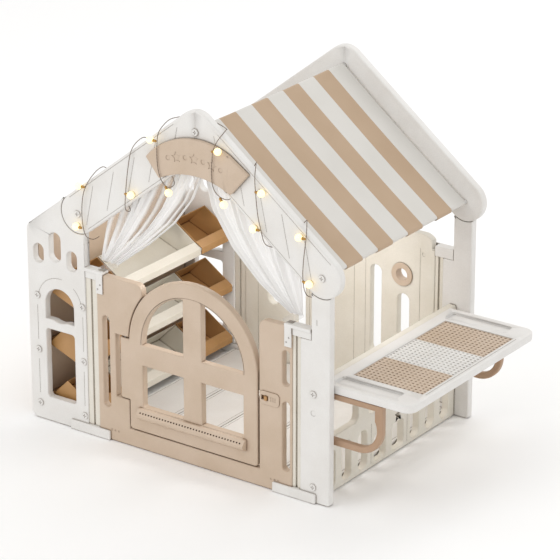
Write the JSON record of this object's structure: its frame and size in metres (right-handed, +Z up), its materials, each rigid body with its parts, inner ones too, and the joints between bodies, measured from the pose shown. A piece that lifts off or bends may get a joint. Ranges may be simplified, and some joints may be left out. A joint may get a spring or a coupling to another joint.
{
  "type": "toddler playhouse",
  "caption": "Moulded playhouse with an arched gate door, gabled frame under a striped cover, a bay of tilted toy bins, a perforated side counter, curtains and string lights.",
  "frame": {"origin": "on the floor at the middle of the house's width and depth, under the third floor board", "axes": "+X towards the side counter, +Y from the gate to the rear panel, +Z up"},
  "size_m": [1.465, 0.8849, 1.197],
  "materials": {
    "white_plastic": "blow-moulded white plastic, satin",
    "cream_plastic": "blow-moulded cream plastic, satin",
    "beige_plastic": "blow-moulded beige plastic, satin",
    "brown_plastic": "moulded caramel brown plastic, satin",
    "painted_tube": "powder-coated light grey tube",
    "striped_fabric": "woven polyester with printed beige and white stripes",
    "sheer_fabric": "sheer white voile",
    "wire_sheath": "thin brown-grey insulated wire",
    "socket_brass": "brushed brass sleeve",
    "bulb_glass": "frosted warm bulb"
  },
  "bodies": {
    "house": {"front_left_panel": "white_plastic", "back_left_panel": "white_plastic", "left_wall_panel": "beige_plastic", "gate_frame": "beige_plastic", "door_hinge_pins": "painted_tube", "latch_plate": "beige_plastic", "front_right_post": "white_plastic", "back_right_post": "white_plastic", "back_panel": "cream_plastic", "porthole_ring": "beige_plastic", "right_low_panel": "cream_plastic", "connector_posts": "cream_plastic", "connector_caps": "white_plastic", "base_feet": "white_plastic", "panel_screws": "white_plastic", "roof_screws": "white_plastic", "front_board_left": "white_plastic", "front_board_right": "white_plastic", "back_board_left": "white_plastic", "back_board_right": "white_plastic", "welcome_sign": "beige_plastic", "ridge_rod": "painted_tube", "eave_rod_left": "painted_tube", "eave_rod_right": "painted_tube", "roof_cover": "striped_fabric", "curtain_left": "sheer_fabric", "curtain_right": "sheer_fabric", "curtain_ties": "sheer_fabric", "curtain_clip": "sheer_fabric", "counter_frame": "white_plastic", "counter_plate_front": "beige_plastic", "counter_plate_middle": "white_plastic", "counter_plate_rear": "beige_plastic", "counter_bracket_front": "brown_plastic", "counter_bracket_rear": "brown_plastic", "bin_rods": "painted_tube", "light_wire_left": "wire_sheath", "light_wire_right": "wire_sheath", "light_sockets": "socket_brass", "light_bulbs": "bulb_glass", "battery_box": "white_plastic", "floor_boards": "white_plastic"},
    "door": {"door_leaf": "beige_plastic", "door_sill": "beige_plastic"},
    "latch": {"latch_slider": "brown_plastic"},
    "light_switch": {"battery_switch": "brown_plastic"},
    "bin_low_front_body": {"bin_low_front": "brown_plastic"},
    "bin_low_centre_body": {"bin_low_centre": "cream_plastic"},
    "bin_low_rear_body": {"bin_low_rear": "brown_plastic"},
    "bin_mid_front_body": {"bin_mid_front": "brown_plastic"},
    "bin_mid_centre_body": {"bin_mid_centre": "cream_plastic"},
    "bin_mid_rear_body": {"bin_mid_rear": "brown_plastic"},
    "bin_top_front_body": {"bin_top_front": "brown_plastic"},
    "bin_top_centre_body": {"bin_top_centre": "cream_plastic"},
    "bin_top_rear_body": {"bin_top_rear": "brown_plastic"}
  },
  "joints": [
    {"name": "door_hinge", "type": "hinge", "parent": "house", "child": "door", "pos_m": [-0.2045, -0.403, 0.271], "axis": [0, 0, 1], "range_deg": [-100, 0]},
    {"name": "latch_slide", "type": "slide", "parent": "house", "child": "latch", "axis": [-1, 0, 0], "range_m": [0, 0.012]},
    {"name": "light_switch_slide", "type": "slide", "parent": "house", "child": "light_switch", "axis": [0, 0, 1], "range_m": [0, 0.006]},
    {"name": "bin_low_front_lift", "type": "slide", "parent": "house", "child": "bin_low_front_body", "axis": [0.5592, 0, 0.829], "range_m": [0, 0.05]},
    {"name": "bin_low_centre_lift", "type": "slide", "parent": "house", "child": "bin_low_centre_body", "axis": [0.5592, 0, 0.829], "range_m": [0, 0.05]},
    {"name": "bin_low_rear_lift", "type": "slide", "parent": "house", "child": "bin_low_rear_body", "axis": [0.5592, 0, 0.829], "range_m": [0, 0.05]},
    {"name": "bin_mid_front_lift", "type": "slide", "parent": "house", "child": "bin_mid_front_body", "axis": [0.5592, 0, 0.829], "range_m": [0, 0.05]},
    {"name": "bin_mid_centre_lift", "type": "slide", "parent": "house", "child": "bin_mid_centre_body", "axis": [0.5592, 0, 0.829], "range_m": [0, 0.05]},
    {"name": "bin_mid_rear_lift", "type": "slide", "parent": "house", "child": "bin_mid_rear_body", "axis": [0.5592, 0, 0.829], "range_m": [0, 0.05]},
    {"name": "bin_top_front_lift", "type": "slide", "parent": "house", "child": "bin_top_front_body", "axis": [0.5592, 0, 0.829], "range_m": [0, 0.05]},
    {"name": "bin_top_centre_lift", "type": "slide", "parent": "house", "child": "bin_top_centre_body", "axis": [0.5592, 0, 0.829], "range_m": [0, 0.05]},
    {"name": "bin_top_rear_lift", "type": "slide", "parent": "house", "child": "bin_top_rear_body", "axis": [0.5592, 0, 0.829], "range_m": [0, 0.05]}
  ]
}
